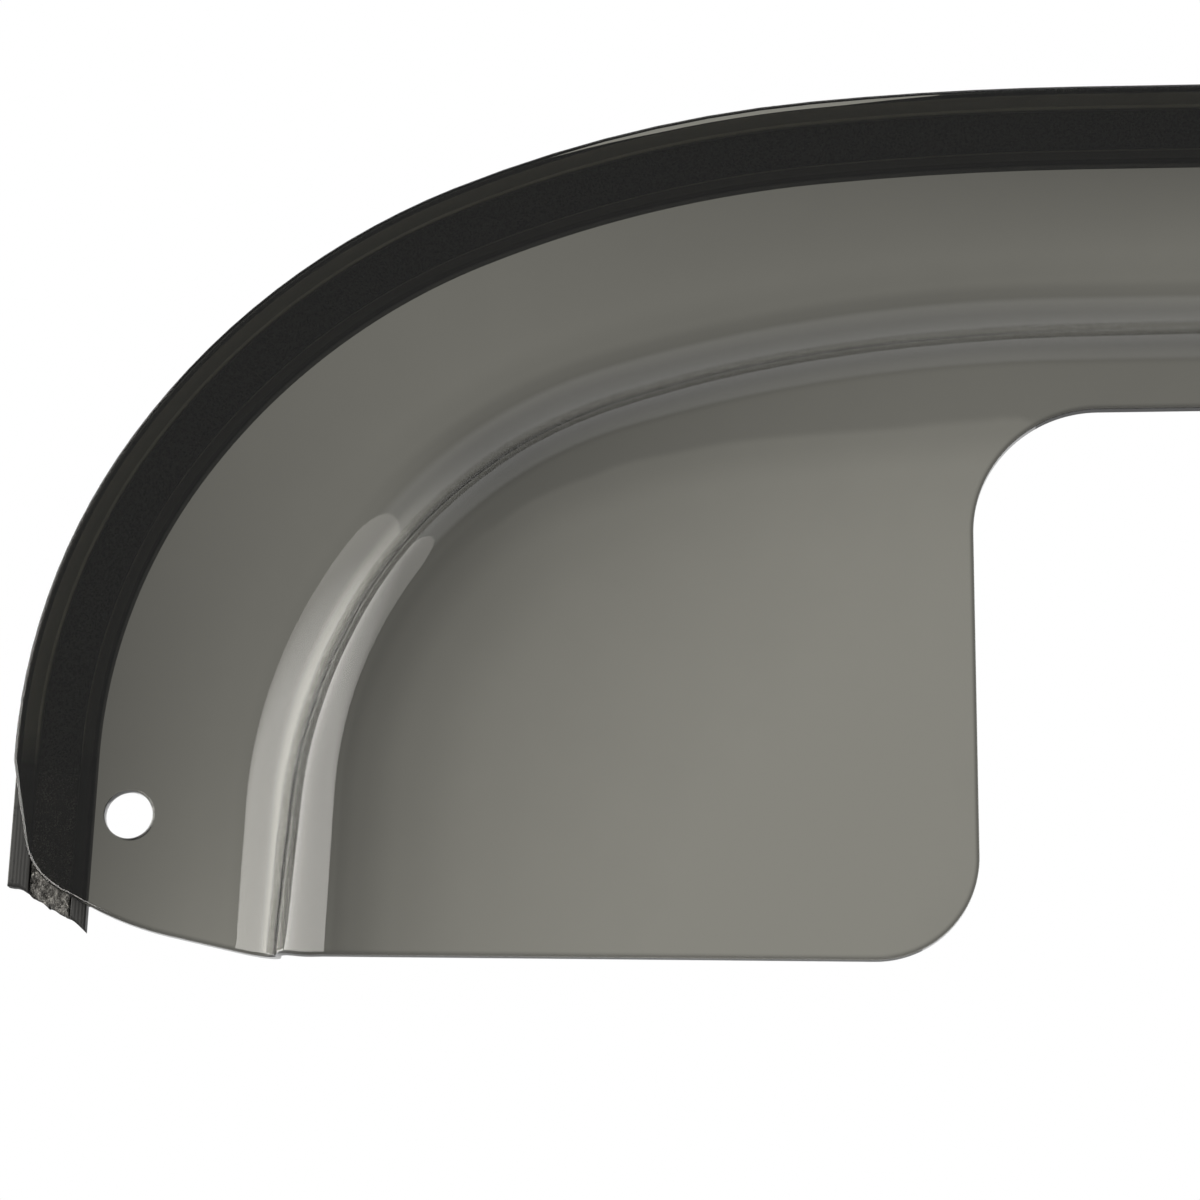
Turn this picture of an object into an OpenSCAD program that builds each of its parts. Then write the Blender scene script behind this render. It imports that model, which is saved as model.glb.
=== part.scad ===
/* [Sheet] */
// Thickness of the acrylic sheet
sheet_t = 4; // [2.5:0.1:4.5]
// Overall length from the front rim to the rear end
overall_l = 780; // [500:5:1000]
// Width of the front lobe, from the front rim to its rear edge
lobe_w = 239; // [225:1:280]
// Depth of the lobe's lower edge below the screw hole, carried forward to the hole
lobe_drop = 38.2; // [36:0.1:60]
// Fall of that edge toward the rear
lobe_lean = 1; // [0:0.1:3]
// Height of the rear strip, from its lower edge to the upper rim
rear_h = 92; // [86:0.5:120]

/* [Outer rim] */
// Height of the straight front rim above the screw hole
rim_front_l = 16.6; // [5:0.1:30]
// Radius of the front corner's first arc, from below
rim_low_r = 154; // [145:1:165]
// Angle of the first arc
rim_low_a = 32.1; // [30:0.1:34]
// Radius of the second arc
rim_mid_r = 181; // [165:1:200]
// Angle of the second arc
rim_mid_a = 33.1; // [31:0.1:35]
// Radius of the third arc
rim_top_r = 317; // [290:1:350]
// Angle of the third arc
rim_top_a = 17.1; // [15:0.1:19]
// Radius of the last arc, which runs into the straight rear
rim_rear_r = 813; // [600:1:1000]
// Angle of the last arc
rim_rear_a = 4.8; // [3:0.1:6]

/* [S-bend] */
// Width of the flat flange at the front
flange_front_w = 58.3; // [54:0.1:62]
// Width of the flat flange along the rear
flange_rear_w = 54.7; // [50:0.1:58]
// Radius of the bend's path round the front corner
bend_corner_r = 124.5; // [110:0.5:130]
// Angle of the path's corner arc
bend_corner_a = 71.1; // [66:0.1:76]
// Radius of the path's upper arc
bend_top_r = 415; // [340:1:500]
// Front radius of the hollow bend beside the flange
hollow_r = 14; // [10:0.5:16]
// Front radius of the round bend beside the visor
round_r = 12; // [9:0.5:14]
// Steepest slope between the two bends
wall_a = 87; // [80:1:89]

/* [Free edge] */
// Height above the hole where the cut leaves the front rim
toe_rise = 14; // [10:0.5:20]
// Lean of the toe's front edge from upright
toe_lean = 9.3; // [6:0.1:12]
// Rounding of the toe's front corner
toe_r = 17; // [8:0.5:20]
// Depth below the hole where the toe's two slopes meet
toe_drop = 27.8; // [26:0.1:30]
// Steeper slope of the toe's lower edge
toe_steep_a = 28.4; // [25:0.1:31]
// Gentler slope of the edge below the flange
toe_gentle_a = 13.5; // [12:0.1:15]
// Rounding between the two slopes
toe_blend_r = 80; // [50:1:90]
// Rounding where the slope meets the lobe's lower edge
lobe_front_r = 24; // [15:1:60]
// Rounding of the lobe's lower rear corner
lobe_corner_r = 25; // [20:0.5:34]
// Rounding between the lobe and the rear strip
notch_r = 31; // [25:0.5:42]
// Rounding of the rear end's lower corner
rear_corner_r = 30; // [15:1:34]

/* [Screw hole] */
// Diameter of the screw hole
hole_d = 12; // [6:0.5:16]
// Distance from the hole's centre to the front rim
hole_inset = 29.7; // [28:0.1:34]

/* [Rubber and tape] */
// Width of the rubber strip
strip_w = 20.3; // [18:0.1:21.5]
// Thickness of the rubber strip
strip_t = 4; // [3:0.1:6]
// Width of its outer lip
lip_w = 5.4; // [4:0.1:6]
// Width of its inner foot
foot_w = 4; // [3:0.1:5]
// Thickness of the web under the foam
web_t = 1; // [0.6:0.1:1.5]
// Rounding of the lip's outer back corner
lip_r = 1.5; // [0.5:0.1:2]
// Gap on each side of the foam
foam_gap = 0.4; // [0.2:0.05:0.8]
// Width of the mounting tape
tape_w = 12; // [8:0.5:15]
// Thickness of the mounting tape
tape_t = 1.1; // [0.6:0.1:2]
// Depth below the hole where the strip's cut end starts at the rim
cut_drop = 17; // [14:0.5:22]
// Distance from the strip's rear end to the sheet's rear end
strip_rear_gap = 3; // [1:0.5:10]

/* [Hidden] */

$fn = 96;
// Length by which cutting shapes run past what they cut
over = 1;
// Length that takes a shape clear of the sheet's outline
clear_l = 100;
// Largest angle between the points of a rounded stretch
path_step = 3;
// Largest angle between the points of the sections' arcs
bend_step = 9;

// Heading of the straight front rim, from the length axis
front_a = rim_low_a + rim_mid_a + rim_top_a + rim_rear_a;

// A path is a list of legs: a straight leg is [length], an arc to the right is [radius, angle]
function ahead(a) = [cos(a), sin(a)];
function inward(a) = [sin(a), -cos(a)];
function leg_end(p, a, leg) = len(leg) == 1 ? p + leg[0] * ahead(a)
    : p + leg[0] * (inward(a) - inward(a - leg[1]));
function leg_heading(a, leg) = len(leg) == 1 ? a : a - leg[1];
function rest(legs) = len(legs) < 2 ? [] : [for (i = [1 : len(legs) - 1]) legs[i]];
function path_end(p, a, legs) = len(legs) == 0 ? p
    : path_end(leg_end(p, a, legs[0]), leg_heading(a, legs[0]), rest(legs));

// Stations along a path, each with its place and heading
function leg_stations(p, a, leg) = len(leg) == 1 ? [[p, a]]
    : let (n = ceil(leg[1] / path_step))
        [for (i = [0 : n - 1]) [leg_end(p, a, [leg[0], leg[1] * i / n]), a - leg[1] * i / n]];
function stations(p, a, legs) = len(legs) == 0 ? [[p, a]]
    : concat(leg_stations(p, a, legs[0]),
        stations(leg_end(p, a, legs[0]), leg_heading(a, legs[0]), rest(legs)));

// The outer rim starts well below the toe and ends past the rear
rim_arcs = [[rim_low_r, rim_low_a], [rim_mid_r, rim_mid_a], [rim_top_r, rim_top_a], [rim_rear_r, rim_rear_a]];
rim_foot = [-hole_inset, 0] - clear_l * ahead(front_a);
rim_rise_l = clear_l + rim_front_l / sin(front_a);
rim_corner = path_end(rim_foot, front_a, concat([[rim_rise_l]], rim_arcs));
rim_top = rim_corner[1];
rear_x = overall_l - hole_inset;
rim = stations(rim_foot, front_a, concat([[rim_rise_l]], rim_arcs, [[rear_x - rim_corner[0] + over]]));

// The bend's path keeps the two flange widths from the rim's straight stretches
bend_arcs = [[bend_corner_r, bend_corner_a], [bend_top_r, front_a - bend_corner_a]];
bend_foot = rim_foot + flange_front_w * inward(front_a);
bend_climb = path_end(bend_foot, front_a, bend_arcs)[1] - bend_foot[1];
bend_rise_l = (rim_top - flange_rear_w - bend_foot[1] - bend_climb) / sin(front_a);
bend_corner = path_end(bend_foot, front_a, concat([[bend_rise_l]], bend_arcs));
bend = stations(bend_foot, front_a, concat([[bend_rise_l]], bend_arcs, [[rear_x - bend_corner[0] + over]]));

// Points on an arc between two angles
function arc(c, r, from_a, to_a) = let (n = ceil(abs(to_a - from_a) / bend_step))
    [for (i = [0 : n]) c + r * ahead(from_a + (to_a - from_a) * i / n)];

// Section of the sheet: distance inward from the bend's path, height above the sheet's back
hollow_c = [0, sheet_t + hollow_r];
round_c = hollow_c + (hollow_r + round_r) * inward(wall_a);
visor_h = round_c[1] + round_r - sheet_t;
visor_top = visor_h + sheet_t;
// The flat middle of the visor starts halfway into the swept section's flat
visor_lap = 20;
visor_reach = round_c[0] + visor_lap;
core_inset = round_c[0] + visor_lap / 2;
sheet_section = concat(
    [[-clear_l, sheet_t]],
    arc(hollow_c, hollow_r, -90, wall_a - 90),
    arc(round_c, round_r, wall_a + 90, 90),
    [[visor_reach, visor_top], [visor_reach, visor_h]],
    arc(round_c, round_r - sheet_t, 90, wall_a + 90),
    arc(hollow_c, hollow_r + sheet_t, wall_a - 90, -90),
    [[-clear_l, 0]]);

// Corner points of the free edge and the rounding at each
strip_low_z = rim_top - rear_h;
lobe_x = lobe_w - hole_inset;
function meet(p, a, q, b) = p + ahead(a) * ((q - p)[0] * sin(b) - (q - p)[1] * cos(b))
    / (cos(a) * sin(b) - sin(a) * cos(b));
toe_start = [-hole_inset, 0] + toe_rise / sin(front_a) * ahead(front_a);
toe_joint = [0, -toe_drop];
toe_corner = meet(toe_start, toe_lean - 90, toe_joint, -toe_steep_a);
lobe_front = meet(toe_joint, -toe_gentle_a, [0, -lobe_drop], -lobe_lean);
lobe_low_z = -lobe_drop - lobe_x * tan(lobe_lean);
free_edge = [
    [toe_start - over * ahead(toe_lean - 90), 0],
    [toe_corner, toe_r],
    [toe_joint, toe_blend_r],
    [lobe_front, lobe_front_r],
    [[lobe_x, lobe_low_z], lobe_corner_r],
    [[lobe_x, strip_low_z], notch_r],
    [[rear_x, strip_low_z], rear_corner_r],
    [[rear_x, rim_top + over], 0]
];

// Rounds the corners of a line of points
function bearing(v) = atan2(v[1], v[0]);
function fillet(p, q, s, r) =
    let (a = bearing(q - p), turn = (bearing(s - q) - a + 540) % 360 - 180, side = sign(turn))
    let (start = q - r * tan(abs(turn) / 2) * ahead(a), n = ceil(abs(turn) / path_step))
    [for (i = [0 : n]) start - side * r * (inward(a) - inward(a + turn * i / n))];
function rounded(edge) = [for (i = [0 : len(edge) - 1]) each
    (edge[i][1] == 0 ? [edge[i][0]] : fillet(edge[i - 1][0], edge[i][0], edge[i + 1][0], edge[i][1]))];

// The strip's sections: distance inward from the rim, height above the sheet's back
foot_in = strip_w - foot_w;
web_h = web_t - strip_t;
rubber_section = concat(
    [[0, 0], [lip_w, 0], [lip_w, web_h], [foot_in, web_h], [foot_in, 0], [strip_w, 0], [strip_w, -strip_t]],
    arc([lip_r, lip_r - strip_t], lip_r, 270, 180));
function flat_section(from_in, to_in, top_h, low_h) =
    [[from_in, top_h], [to_in, top_h], [to_in, low_h], [from_in, low_h]];
foam_section = flat_section(lip_w + foam_gap, foot_in - foam_gap, 0, web_h);
tape_section = flat_section((strip_w - tape_w) / 2, (strip_w + tape_w) / 2, -strip_t, -strip_t - tape_t);

// Carries a section along a line of stations
module sweep(path, section) {
    n = len(section);
    rings = [for (st = path, c = section) [each (st[0] + c[0] * inward(st[1])), c[1]]];
    sides = [for (k = [0 : len(path) - 2], i = [0 : n - 1])
        [k * n + i, (k + 1) * n + i, (k + 1) * n + (i + 1) % n, k * n + (i + 1) % n]];
    first_cap = [for (i = [0 : n - 1]) i];
    last_cap = [for (i = [n - 1 : -1 : 0]) (len(path) - 1) * n + i];
    polyhedron(rings, concat(sides, [first_cap, last_cap]), convexity = 8);
}

// The visor's flat middle
module visor_core() {
    translate([0, 0, visor_h]) linear_extrude(sheet_t) polygon(concat(
        [for (st = bend) st[0] + core_inset * inward(st[1])],
        [[rear_x + over, -clear_l]]));
}

// The trimmed outline: inside the rim, above and ahead of the free edge
module outline() {
    difference() {
        polygon(concat([for (st = rim) st[0]], [[rear_x + over, -clear_l]]));
        polygon(concat(rounded(free_edge), [[rear_x + clear_l, rim_top + over],
            [rear_x + clear_l, -2 * clear_l], [-clear_l, -2 * clear_l], [-clear_l, toe_start[1]]]));
    }
}

// All that lies past the strip's ends. The ragged front end falls inward, in shares of the strip's width
module strip_waste(rear_gap) {
    tear = [[-0.2, 0], [0, 0], [0.27, 0.12], [0.46, 0.23], [0.62, 0.36], [0.76, 0.44], [1, 0.6], [1.3, 0.69]];
    tear_start = [-hole_inset, 0] - cut_drop / sin(front_a) * ahead(front_a);
    translate([0, 0, -clear_l]) linear_extrude(2 * clear_l) {
        polygon(concat([for (t = tear) tear_start + strip_w * [t[0], -t[1]]],
            [[clear_l, -2 * clear_l], [-clear_l, -2 * clear_l]]));
        translate([rear_x - rear_gap, 0]) square([clear_l, rim_top + over]);
    }
}

// One strip behind the rim, cut at both ends and stood upright
module strip(section, rear_gap) {
    upright() difference() {
        sweep(rim, section);
        strip_waste(rear_gap);
    }
}

// Stands the flat-drawn part up: heights above the sheet's back point outward
module upright() {
    rotate([90, 0, 0]) children();
}

module shell() {
    color([0.27, 0.27, 0.25, 0.75]) upright() difference() {
        intersection() {
            union() {
                sweep(bend, sheet_section);
                visor_core();
            }
            translate([0, 0, -over]) linear_extrude(visor_top + 2 * over) outline();
        }
        translate([0, 0, -over]) cylinder(h = sheet_t + 2 * over, d = hole_d);
    }
}

module rubber_profile() {
    color([0.1, 0.1, 0.11]) strip(rubber_section, strip_rear_gap);
}

module foam_strip() {
    color([0.2, 0.2, 0.2]) strip(foam_section, strip_rear_gap);
}

module mounting_tape() {
    color([0.75, 0.75, 0.72]) strip(tape_section, strip_rear_gap + over);
}

shell();
rubber_profile();
foam_strip();
mounting_tape();
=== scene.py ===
# Smoked acrylic window rain deflector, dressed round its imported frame
import math
import bmesh
import bpy
import numpy as np
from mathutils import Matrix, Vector
from mathutils.geometry import delaunay_2d_cdt


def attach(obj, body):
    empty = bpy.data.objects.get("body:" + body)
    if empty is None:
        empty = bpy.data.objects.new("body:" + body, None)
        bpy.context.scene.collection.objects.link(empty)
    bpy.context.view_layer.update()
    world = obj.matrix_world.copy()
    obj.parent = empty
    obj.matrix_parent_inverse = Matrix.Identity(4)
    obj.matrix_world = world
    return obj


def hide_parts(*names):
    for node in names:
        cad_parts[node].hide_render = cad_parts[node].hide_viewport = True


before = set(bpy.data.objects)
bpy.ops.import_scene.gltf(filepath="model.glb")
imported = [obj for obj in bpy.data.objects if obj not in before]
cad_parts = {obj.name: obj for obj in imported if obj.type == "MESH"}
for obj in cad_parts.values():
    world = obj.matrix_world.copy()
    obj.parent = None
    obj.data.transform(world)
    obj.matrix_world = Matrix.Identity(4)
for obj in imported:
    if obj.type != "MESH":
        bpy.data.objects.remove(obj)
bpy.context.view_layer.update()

mm = 0.001
print("frame loaded")


# Camera first: a long lens, a little below the flange and to its right
camera = {
    "place": (0.1742, -1.0947, -0.1991),
    "below": 13.0,      # degrees under the flange's straight-on line
    "right": 3.0,       # degrees to the right of it
    "lens": 135.0,
    "sensor": 36.0,
}
down, side = math.radians(camera["below"]), math.radians(camera["right"])
aim = Vector((-math.sin(side) * math.cos(down), math.cos(side) * math.cos(down), math.sin(down)))
lens = bpy.data.cameras.new("camera")
lens.lens, lens.sensor_width = camera["lens"], camera["sensor"]
lens.clip_start, lens.clip_end = 0.01, 50
shot = bpy.data.objects.new("camera", lens)
shot.location = camera["place"]
shot.rotation_euler = aim.to_track_quat("-Z", "Y").to_euler()
bpy.context.scene.collection.objects.link(shot)
bpy.context.scene.camera = shot


# Shapes are drawn flat in millimetres: x along the door, z up, and a height above the sheet's back
def ahead(a):
    return np.stack([np.cos(a), np.sin(a)], -1)


def inward(a):
    return np.stack([np.sin(a), -np.cos(a)], -1)


# A path is a run of legs: [length] is straight, [radius, angle] curves to the right,
# both negative to the left, and [0, angle] is a sharp corner
def makePath(start, heading, legs):
    p, a, at, rows = np.array(start, float), heading, 0.0, []
    for leg in legs:
        if leg[0] == 0:
            a -= math.radians(leg[1])
            continue
        bend = 1 / leg[0] if len(leg) == 2 else 0.0
        length = abs(leg[0] * math.radians(leg[1])) if len(leg) == 2 else leg[0]
        rows.append((at, p[0], p[1], a, bend, length))
        step = (inward(a) - inward(a - length * bend)) / bend if bend else length * ahead(a)
        p, a, at = p + step, a - length * bend, at + length
    rows = np.array(rows)
    return {"at": rows[:, 0], "p": rows[:, 1:3], "a": rows[:, 3], "bend": rows[:, 4],
            "long": rows[:, 5], "end": p, "endHeading": a, "length": at}


# Place and heading at each distance along a path, as whole arrays
def pathAt(path, t, side="right"):
    t = np.asarray(t, float)
    k = np.clip(np.searchsorted(path["at"], t, side) - 1, 0, len(path["at"]) - 1)
    u, a0, bend = t - path["at"][k], path["a"][k], path["bend"][k]
    a = a0 - u * bend
    curved = (inward(a0) - inward(a)) / np.where(bend == 0, 1, bend)[..., None]
    return path["p"][k] + np.where((bend == 0)[..., None], u[..., None] * ahead(a0), curved), a


# How far each point lies inward from a path and how far along it: the nearest leg counts
def offPath(path, q):
    best, off, along = np.full(len(q), 1e9), np.zeros(len(q)), np.zeros(len(q))
    for at, p, a, bend, long in zip(path["at"], path["p"], path["a"], path["bend"], path["long"]):
        v = q - p
        u = v @ ahead(a)
        if bend:
            c = v - inward(a) / bend
            turned = (a - np.arctan2(-c[:, 0] * bend, c[:, 1] * bend) + np.pi) % (2 * np.pi) - np.pi
            u = turned / bend
        u = np.clip(u, 0, long)
        near, heading = pathAt(path, np.minimum(at + u, at + long - 1e-9))
        w = q - near
        far = np.hypot(w[:, 0], w[:, 1])
        better = far < best
        best = np.where(better, far, best)
        off = np.where(better, (w * inward(heading)).sum(-1), off)
        along = np.where(better, at + u, along)
    return off, along


# Turns a chain of corner points, each with a rounding radius, into the legs of a path
def roundedLegs(points, radii):
    points = np.array(points, float)
    step = np.diff(points, axis=0)
    heading = np.arctan2(step[:, 1], step[:, 0])
    turn = (heading[:-1] - heading[1:] + np.pi) % (2 * np.pi) - np.pi
    cut = np.concatenate([[0], np.array(radii) * np.tan(np.abs(turn) / 2), [0]])
    straight = np.hypot(step[:, 0], step[:, 1]) - cut[:-1] - cut[1:]
    legs = [[straight[0]]]
    for r, t, s in zip(radii, turn, straight[1:]):
        legs += [[math.copysign(r, t), math.degrees(t)], [s]]
    return legs


def meet(p, a, q, b):
    d = np.array(q) - p
    return np.array(p) + ahead(a) * (d[0] * np.sin(b) - d[1] * np.cos(b)) / np.sin(b - a)


sheet = {
    "thick": 4.0, "long": 780.0, "lobeWide": 239.0, "lobeDrop": 38.2, "lobeLean": 1.0, "rearHigh": 92.0,
    "holeInset": 29.7, "holeRadius": 6.0, "holeRound": 0.4, "holeCollar": 0.3,
    "rimRise": 16.6, "rimArcs": [[154, 32.1], [181, 33.1], [317, 17.1], [813, 4.8]],
    "flangeFront": 58.3, "flangeRear": 54.7, "bendCorner": [124.5, 71.1], "bendTop": 415.0,
    "hollow": 14.0, "round": 12.0, "wall": 87.0,
    "wallThick": 0.9,   # the drawn wall is thinner than the flats
    "toeRise": 14.0, "toeLean": 9.3, "toeRound": 17.0, "toeDrop": 27.8, "toeSteep": 28.4, "toeGentle": 13.5,
    "toeBlend": 80.0, "lobeFront": 24.0, "lobeCorner": 25.0, "notch": 31.0, "rearCorner": 30.0,
    "rimRound": 0.6,    # front rounding of the rim, times its share along the rim
    "rimShare": {"along": [160, 280, 340, 450, 520], "by": [0.7, 0.7, 1.3, 1.3, 0.8]},
    "toeEdge": 0.14,    # front rounding of the sharp toe
    "edgeRound": 0.7,   # front rounding of the other cuts
    "backRound": 0.35,
    "ledge": 0.6,       # flat kept beside each rounding, which keeps the shading clean
}

# How closely the curves are cut into faces, in millimetres and degrees
net = {
    "step": 14.0, "outlineTurn": 2.5, "sweepTurn": 1.25, "bendSteps": 24, "roundSteps": 8, "holeSteps": 96,
    "flat": 6.0, "rowGap": 0.866, "border": 0.6,        # spacing on the flats, and shares of it
    "corners": np.array([2, 4, 6, 8.0]),                # extra stations beside the outline's sharp corners
    "join": 0.7,        # left free beside the rows where the outline cuts the S-bend
    "wallStart": 0.25,  # flat beside each rounding on the cut wall
}

# The rim, the S-bend's path and the trimmed outline
below = 100.0
frontA = math.radians(sum(arc[1] for arc in sheet["rimArcs"]))
rimFoot = np.array([-sheet["holeInset"], 0]) - below * ahead(frontA)
rimLegs = [[below + sheet["rimRise"] / math.sin(frontA)]] + sheet["rimArcs"]
rimCorner = makePath(rimFoot, frontA, rimLegs)["end"]
rimTop, rearX = rimCorner[1], sheet["long"] - sheet["holeInset"]
rimPath = makePath(rimFoot, frontA, rimLegs + [[rearX - rimCorner[0]]])

bendFoot = rimFoot + sheet["flangeFront"] * inward(frontA)
bendArcs = [sheet["bendCorner"], [sheet["bendTop"], math.degrees(frontA) - sheet["bendCorner"][1]]]
climb = makePath(bendFoot, frontA, bendArcs)["end"][1] - bendFoot[1]
bendRise = (rimTop - sheet["flangeRear"] - bendFoot[1] - climb) / math.sin(frontA)
bendCorner = makePath(bendFoot, frontA, [[bendRise]] + bendArcs)["end"]
bendPath = makePath(bendFoot, frontA, [[bendRise]] + bendArcs + [[rearX - bendCorner[0] + 1]])

stripLow, lobeX = rimTop - sheet["rearHigh"], sheet["lobeWide"] - sheet["holeInset"]
toeStart = np.array([-sheet["holeInset"], 0]) + sheet["toeRise"] / math.sin(frontA) * ahead(frontA)
toeJoint = np.array([0, -sheet["toeDrop"]])
toeCorner = meet(toeStart, math.radians(sheet["toeLean"] - 90), toeJoint, math.radians(-sheet["toeSteep"]))
lobeFront = meet(toeJoint, math.radians(-sheet["toeGentle"]),
                 [0, -sheet["lobeDrop"]], math.radians(-sheet["lobeLean"]))
lobeLow = -sheet["lobeDrop"] - lobeX * math.tan(math.radians(sheet["lobeLean"]))
cutLegs = roundedLegs(
    [[rearX, rimTop], [rearX, stripLow], [lobeX, stripLow], [lobeX, lobeLow],
     lobeFront, toeJoint, toeCorner, toeStart],
    [sheet[name] for name in ("rearCorner", "notch", "lobeCorner", "lobeFront", "toeBlend", "toeRound")])
toeAlong = float((toeStart - rimFoot) @ ahead(frontA))
rimParts = [[rimLegs[0][0] - toeAlong]] + sheet["rimArcs"] + [[rearX - rimCorner[0]]]
outline = makePath(toeStart, frontA, rimParts + [[0, 90]] + cutLegs)
lastRim = len(rimParts) - 1
rimLong = float(outline["at"][lastRim] + outline["long"][lastRim])      # part of the outline that is the rim

# The S-bend's section: a hollow arc, then a round one, for the front and for the back.
# Their radii always add up to the same, and the wall between them shifts along the path
bends = sheet["hollow"] + sheet["round"]
wallA = math.radians(sheet["wall"])
bendEnd = bends * math.sin(wallA)
visorHigh = bends * (1 - math.cos(wallA))
wallShift = {"along": [60, 68, 92, 133, 154, 182, 209, 229, 250, 282, 307, 348, 406, 500],
             "by": [-2.0, -2.0, -0.8, 1.8, 2.6, 2.6, 2.6, 2.3, 2.2, 1.2, 1.1, 1.3, 0.2, 0.2]}


def hollowRadius(t, back):
    shift = np.interp(t, wallShift["along"], wallShift["by"])
    return sheet["hollow"] + shift + (sheet["wallThick"] if back else 0)


def sheetHigh(s, t, back):
    base = 0 if back else sheet["thick"]
    hollow = hollowRadius(t, back)
    convex = bends - hollow
    low = base + hollow - np.sqrt(np.maximum(hollow ** 2 - np.clip(s, 0, None) ** 2, 0))
    high = base + visorHigh - convex + np.sqrt(np.maximum(convex ** 2 - np.clip(bendEnd - s, 0, None) ** 2, 0))
    return np.where(s < hollow * math.sin(wallA), low, high)


# Rows across the S-bend: even steps round each arc, and a ledge on the flat at both sides
def bendRow(k, t, back):
    hollow, steps = hollowRadius(t, back), net["bendSteps"]
    if k == 0 or k == 2 * steps + 2:
        return hollow * 0 + (-sheet["ledge"] if k == 0 else bendEnd + sheet["ledge"])
    if k <= steps + 1:
        return hollow * math.sin(wallA * (k - 1) / steps)
    return bendEnd - (bends - hollow) * math.sin(wallA * (2 * steps + 1 - k) / steps)


def bendRows(t, back):
    count = 2 * net["bendSteps"] + 3
    t = np.broadcast_to(t, (count,) + np.shape(t)[1:] if np.ndim(t) > 1 else (count,))
    return np.stack([bendRow(k, t[k], back) for k in range(count)])


# Point and mitred inward normal of the outline at each distance round it
def outlineAt(t):
    t = np.mod(t, outline["length"])
    p, after = pathAt(outline, t)
    _, before = pathAt(outline, t, "left")
    before = np.where(t == 0, outline["endHeading"], before)
    n = (inward(before) + inward(after)) / (1 + np.cos(before - after))[..., None]
    return p, n


# Front rounding round the outline: fine at the toe, wider along the rim and on the other cuts
def frontRound(t):
    t = np.mod(t, outline["length"])
    fine, rim, cut, share = sheet["toeEdge"], sheet["rimRound"], sheet["edgeRound"], sheet["rimShare"]
    places = [0, 60] + share["along"] + [rimLong - 4, rimLong + 4, outline["length"] - 60, outline["length"] - 20]
    rounds = [fine, fine] + [k * rim for k in share["by"]] + [share["by"][-1] * rim, cut, cut, fine]
    return np.interp(t, places, rounds)


def inset(t, d):
    p, n = outlineAt(t)
    return p + np.asarray(d)[..., None] * n


# Where the outline, moved in by its rounding and ledge, crosses each row of the S-bend
def crossings(back, rows, low, high):
    t = np.linspace(low, high, 6001)
    d = (sheet["backRound"] if back else frontRound(t)) + sheet["ledge"]
    s, _ = offPath(bendPath, inset(t, np.broadcast_to(d, t.shape)))
    order = np.argsort(s)
    return np.interp(rows, s[order], t[order])


# Plain stations along a path, at the start of each step or at its end
def stations(path, turn, ends=0):
    t = []
    for at, long, bend in zip(path["at"], path["long"], path["bend"]):
        n = max(1, math.ceil(max(long / net["step"], math.degrees(long * abs(bend)) / turn)))
        t.append(at + long * np.arange(ends, n + ends) / n)
    return np.concatenate(t)


def gridFaces(rows, cols, closed=False):
    i, j = np.meshgrid(np.arange(rows - 1), np.arange(cols if closed else cols - 1), indexing="ij")
    n = (j + 1) % cols
    low, high = i * cols, (i + 1) * cols
    return np.stack([low + j, high + j, high + n, low + n], -1).reshape(-1, 4)


# Stands flat-drawn points up: the height above the sheet's back points to -Y
def stand(plan, high):
    high = np.broadcast_to(high, plan.shape[:-1])
    return (np.stack([plan[..., 0], -high, plan[..., 1]], -1) * mm).reshape(-1, 3)


# One mesh from several parts that share their borders
def makeMesh(name, parts, material):
    verts, faces, count = [], [], 0
    for v, f in parts:
        verts.append(v)
        faces += [[int(i) + count for i in face] for face in f]
        count += len(v)
    mesh = bpy.data.meshes.new(name)
    mesh.from_pydata(np.concatenate(verts).tolist(), [], faces)
    bm = bmesh.new()
    bm.from_mesh(mesh)
    bmesh.ops.remove_doubles(bm, verts=bm.verts, dist=2e-6)
    bmesh.ops.dissolve_degenerate(bm, edges=bm.edges, dist=1e-7)
    bmesh.ops.recalc_face_normals(bm, faces=bm.faces)
    loose = sum(1 for e in bm.edges if len(e.link_faces) != 2)
    bm.to_mesh(mesh)
    bm.free()
    mesh.polygons.foreach_set("use_smooth", [True] * len(mesh.polygons))
    mesh.materials.append(material)
    piece = bpy.data.objects.new(name, mesh)
    bpy.context.scene.collection.objects.link(piece)
    print(name, len(mesh.vertices), "vertices,", loose, "open edges")
    return piece


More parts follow.
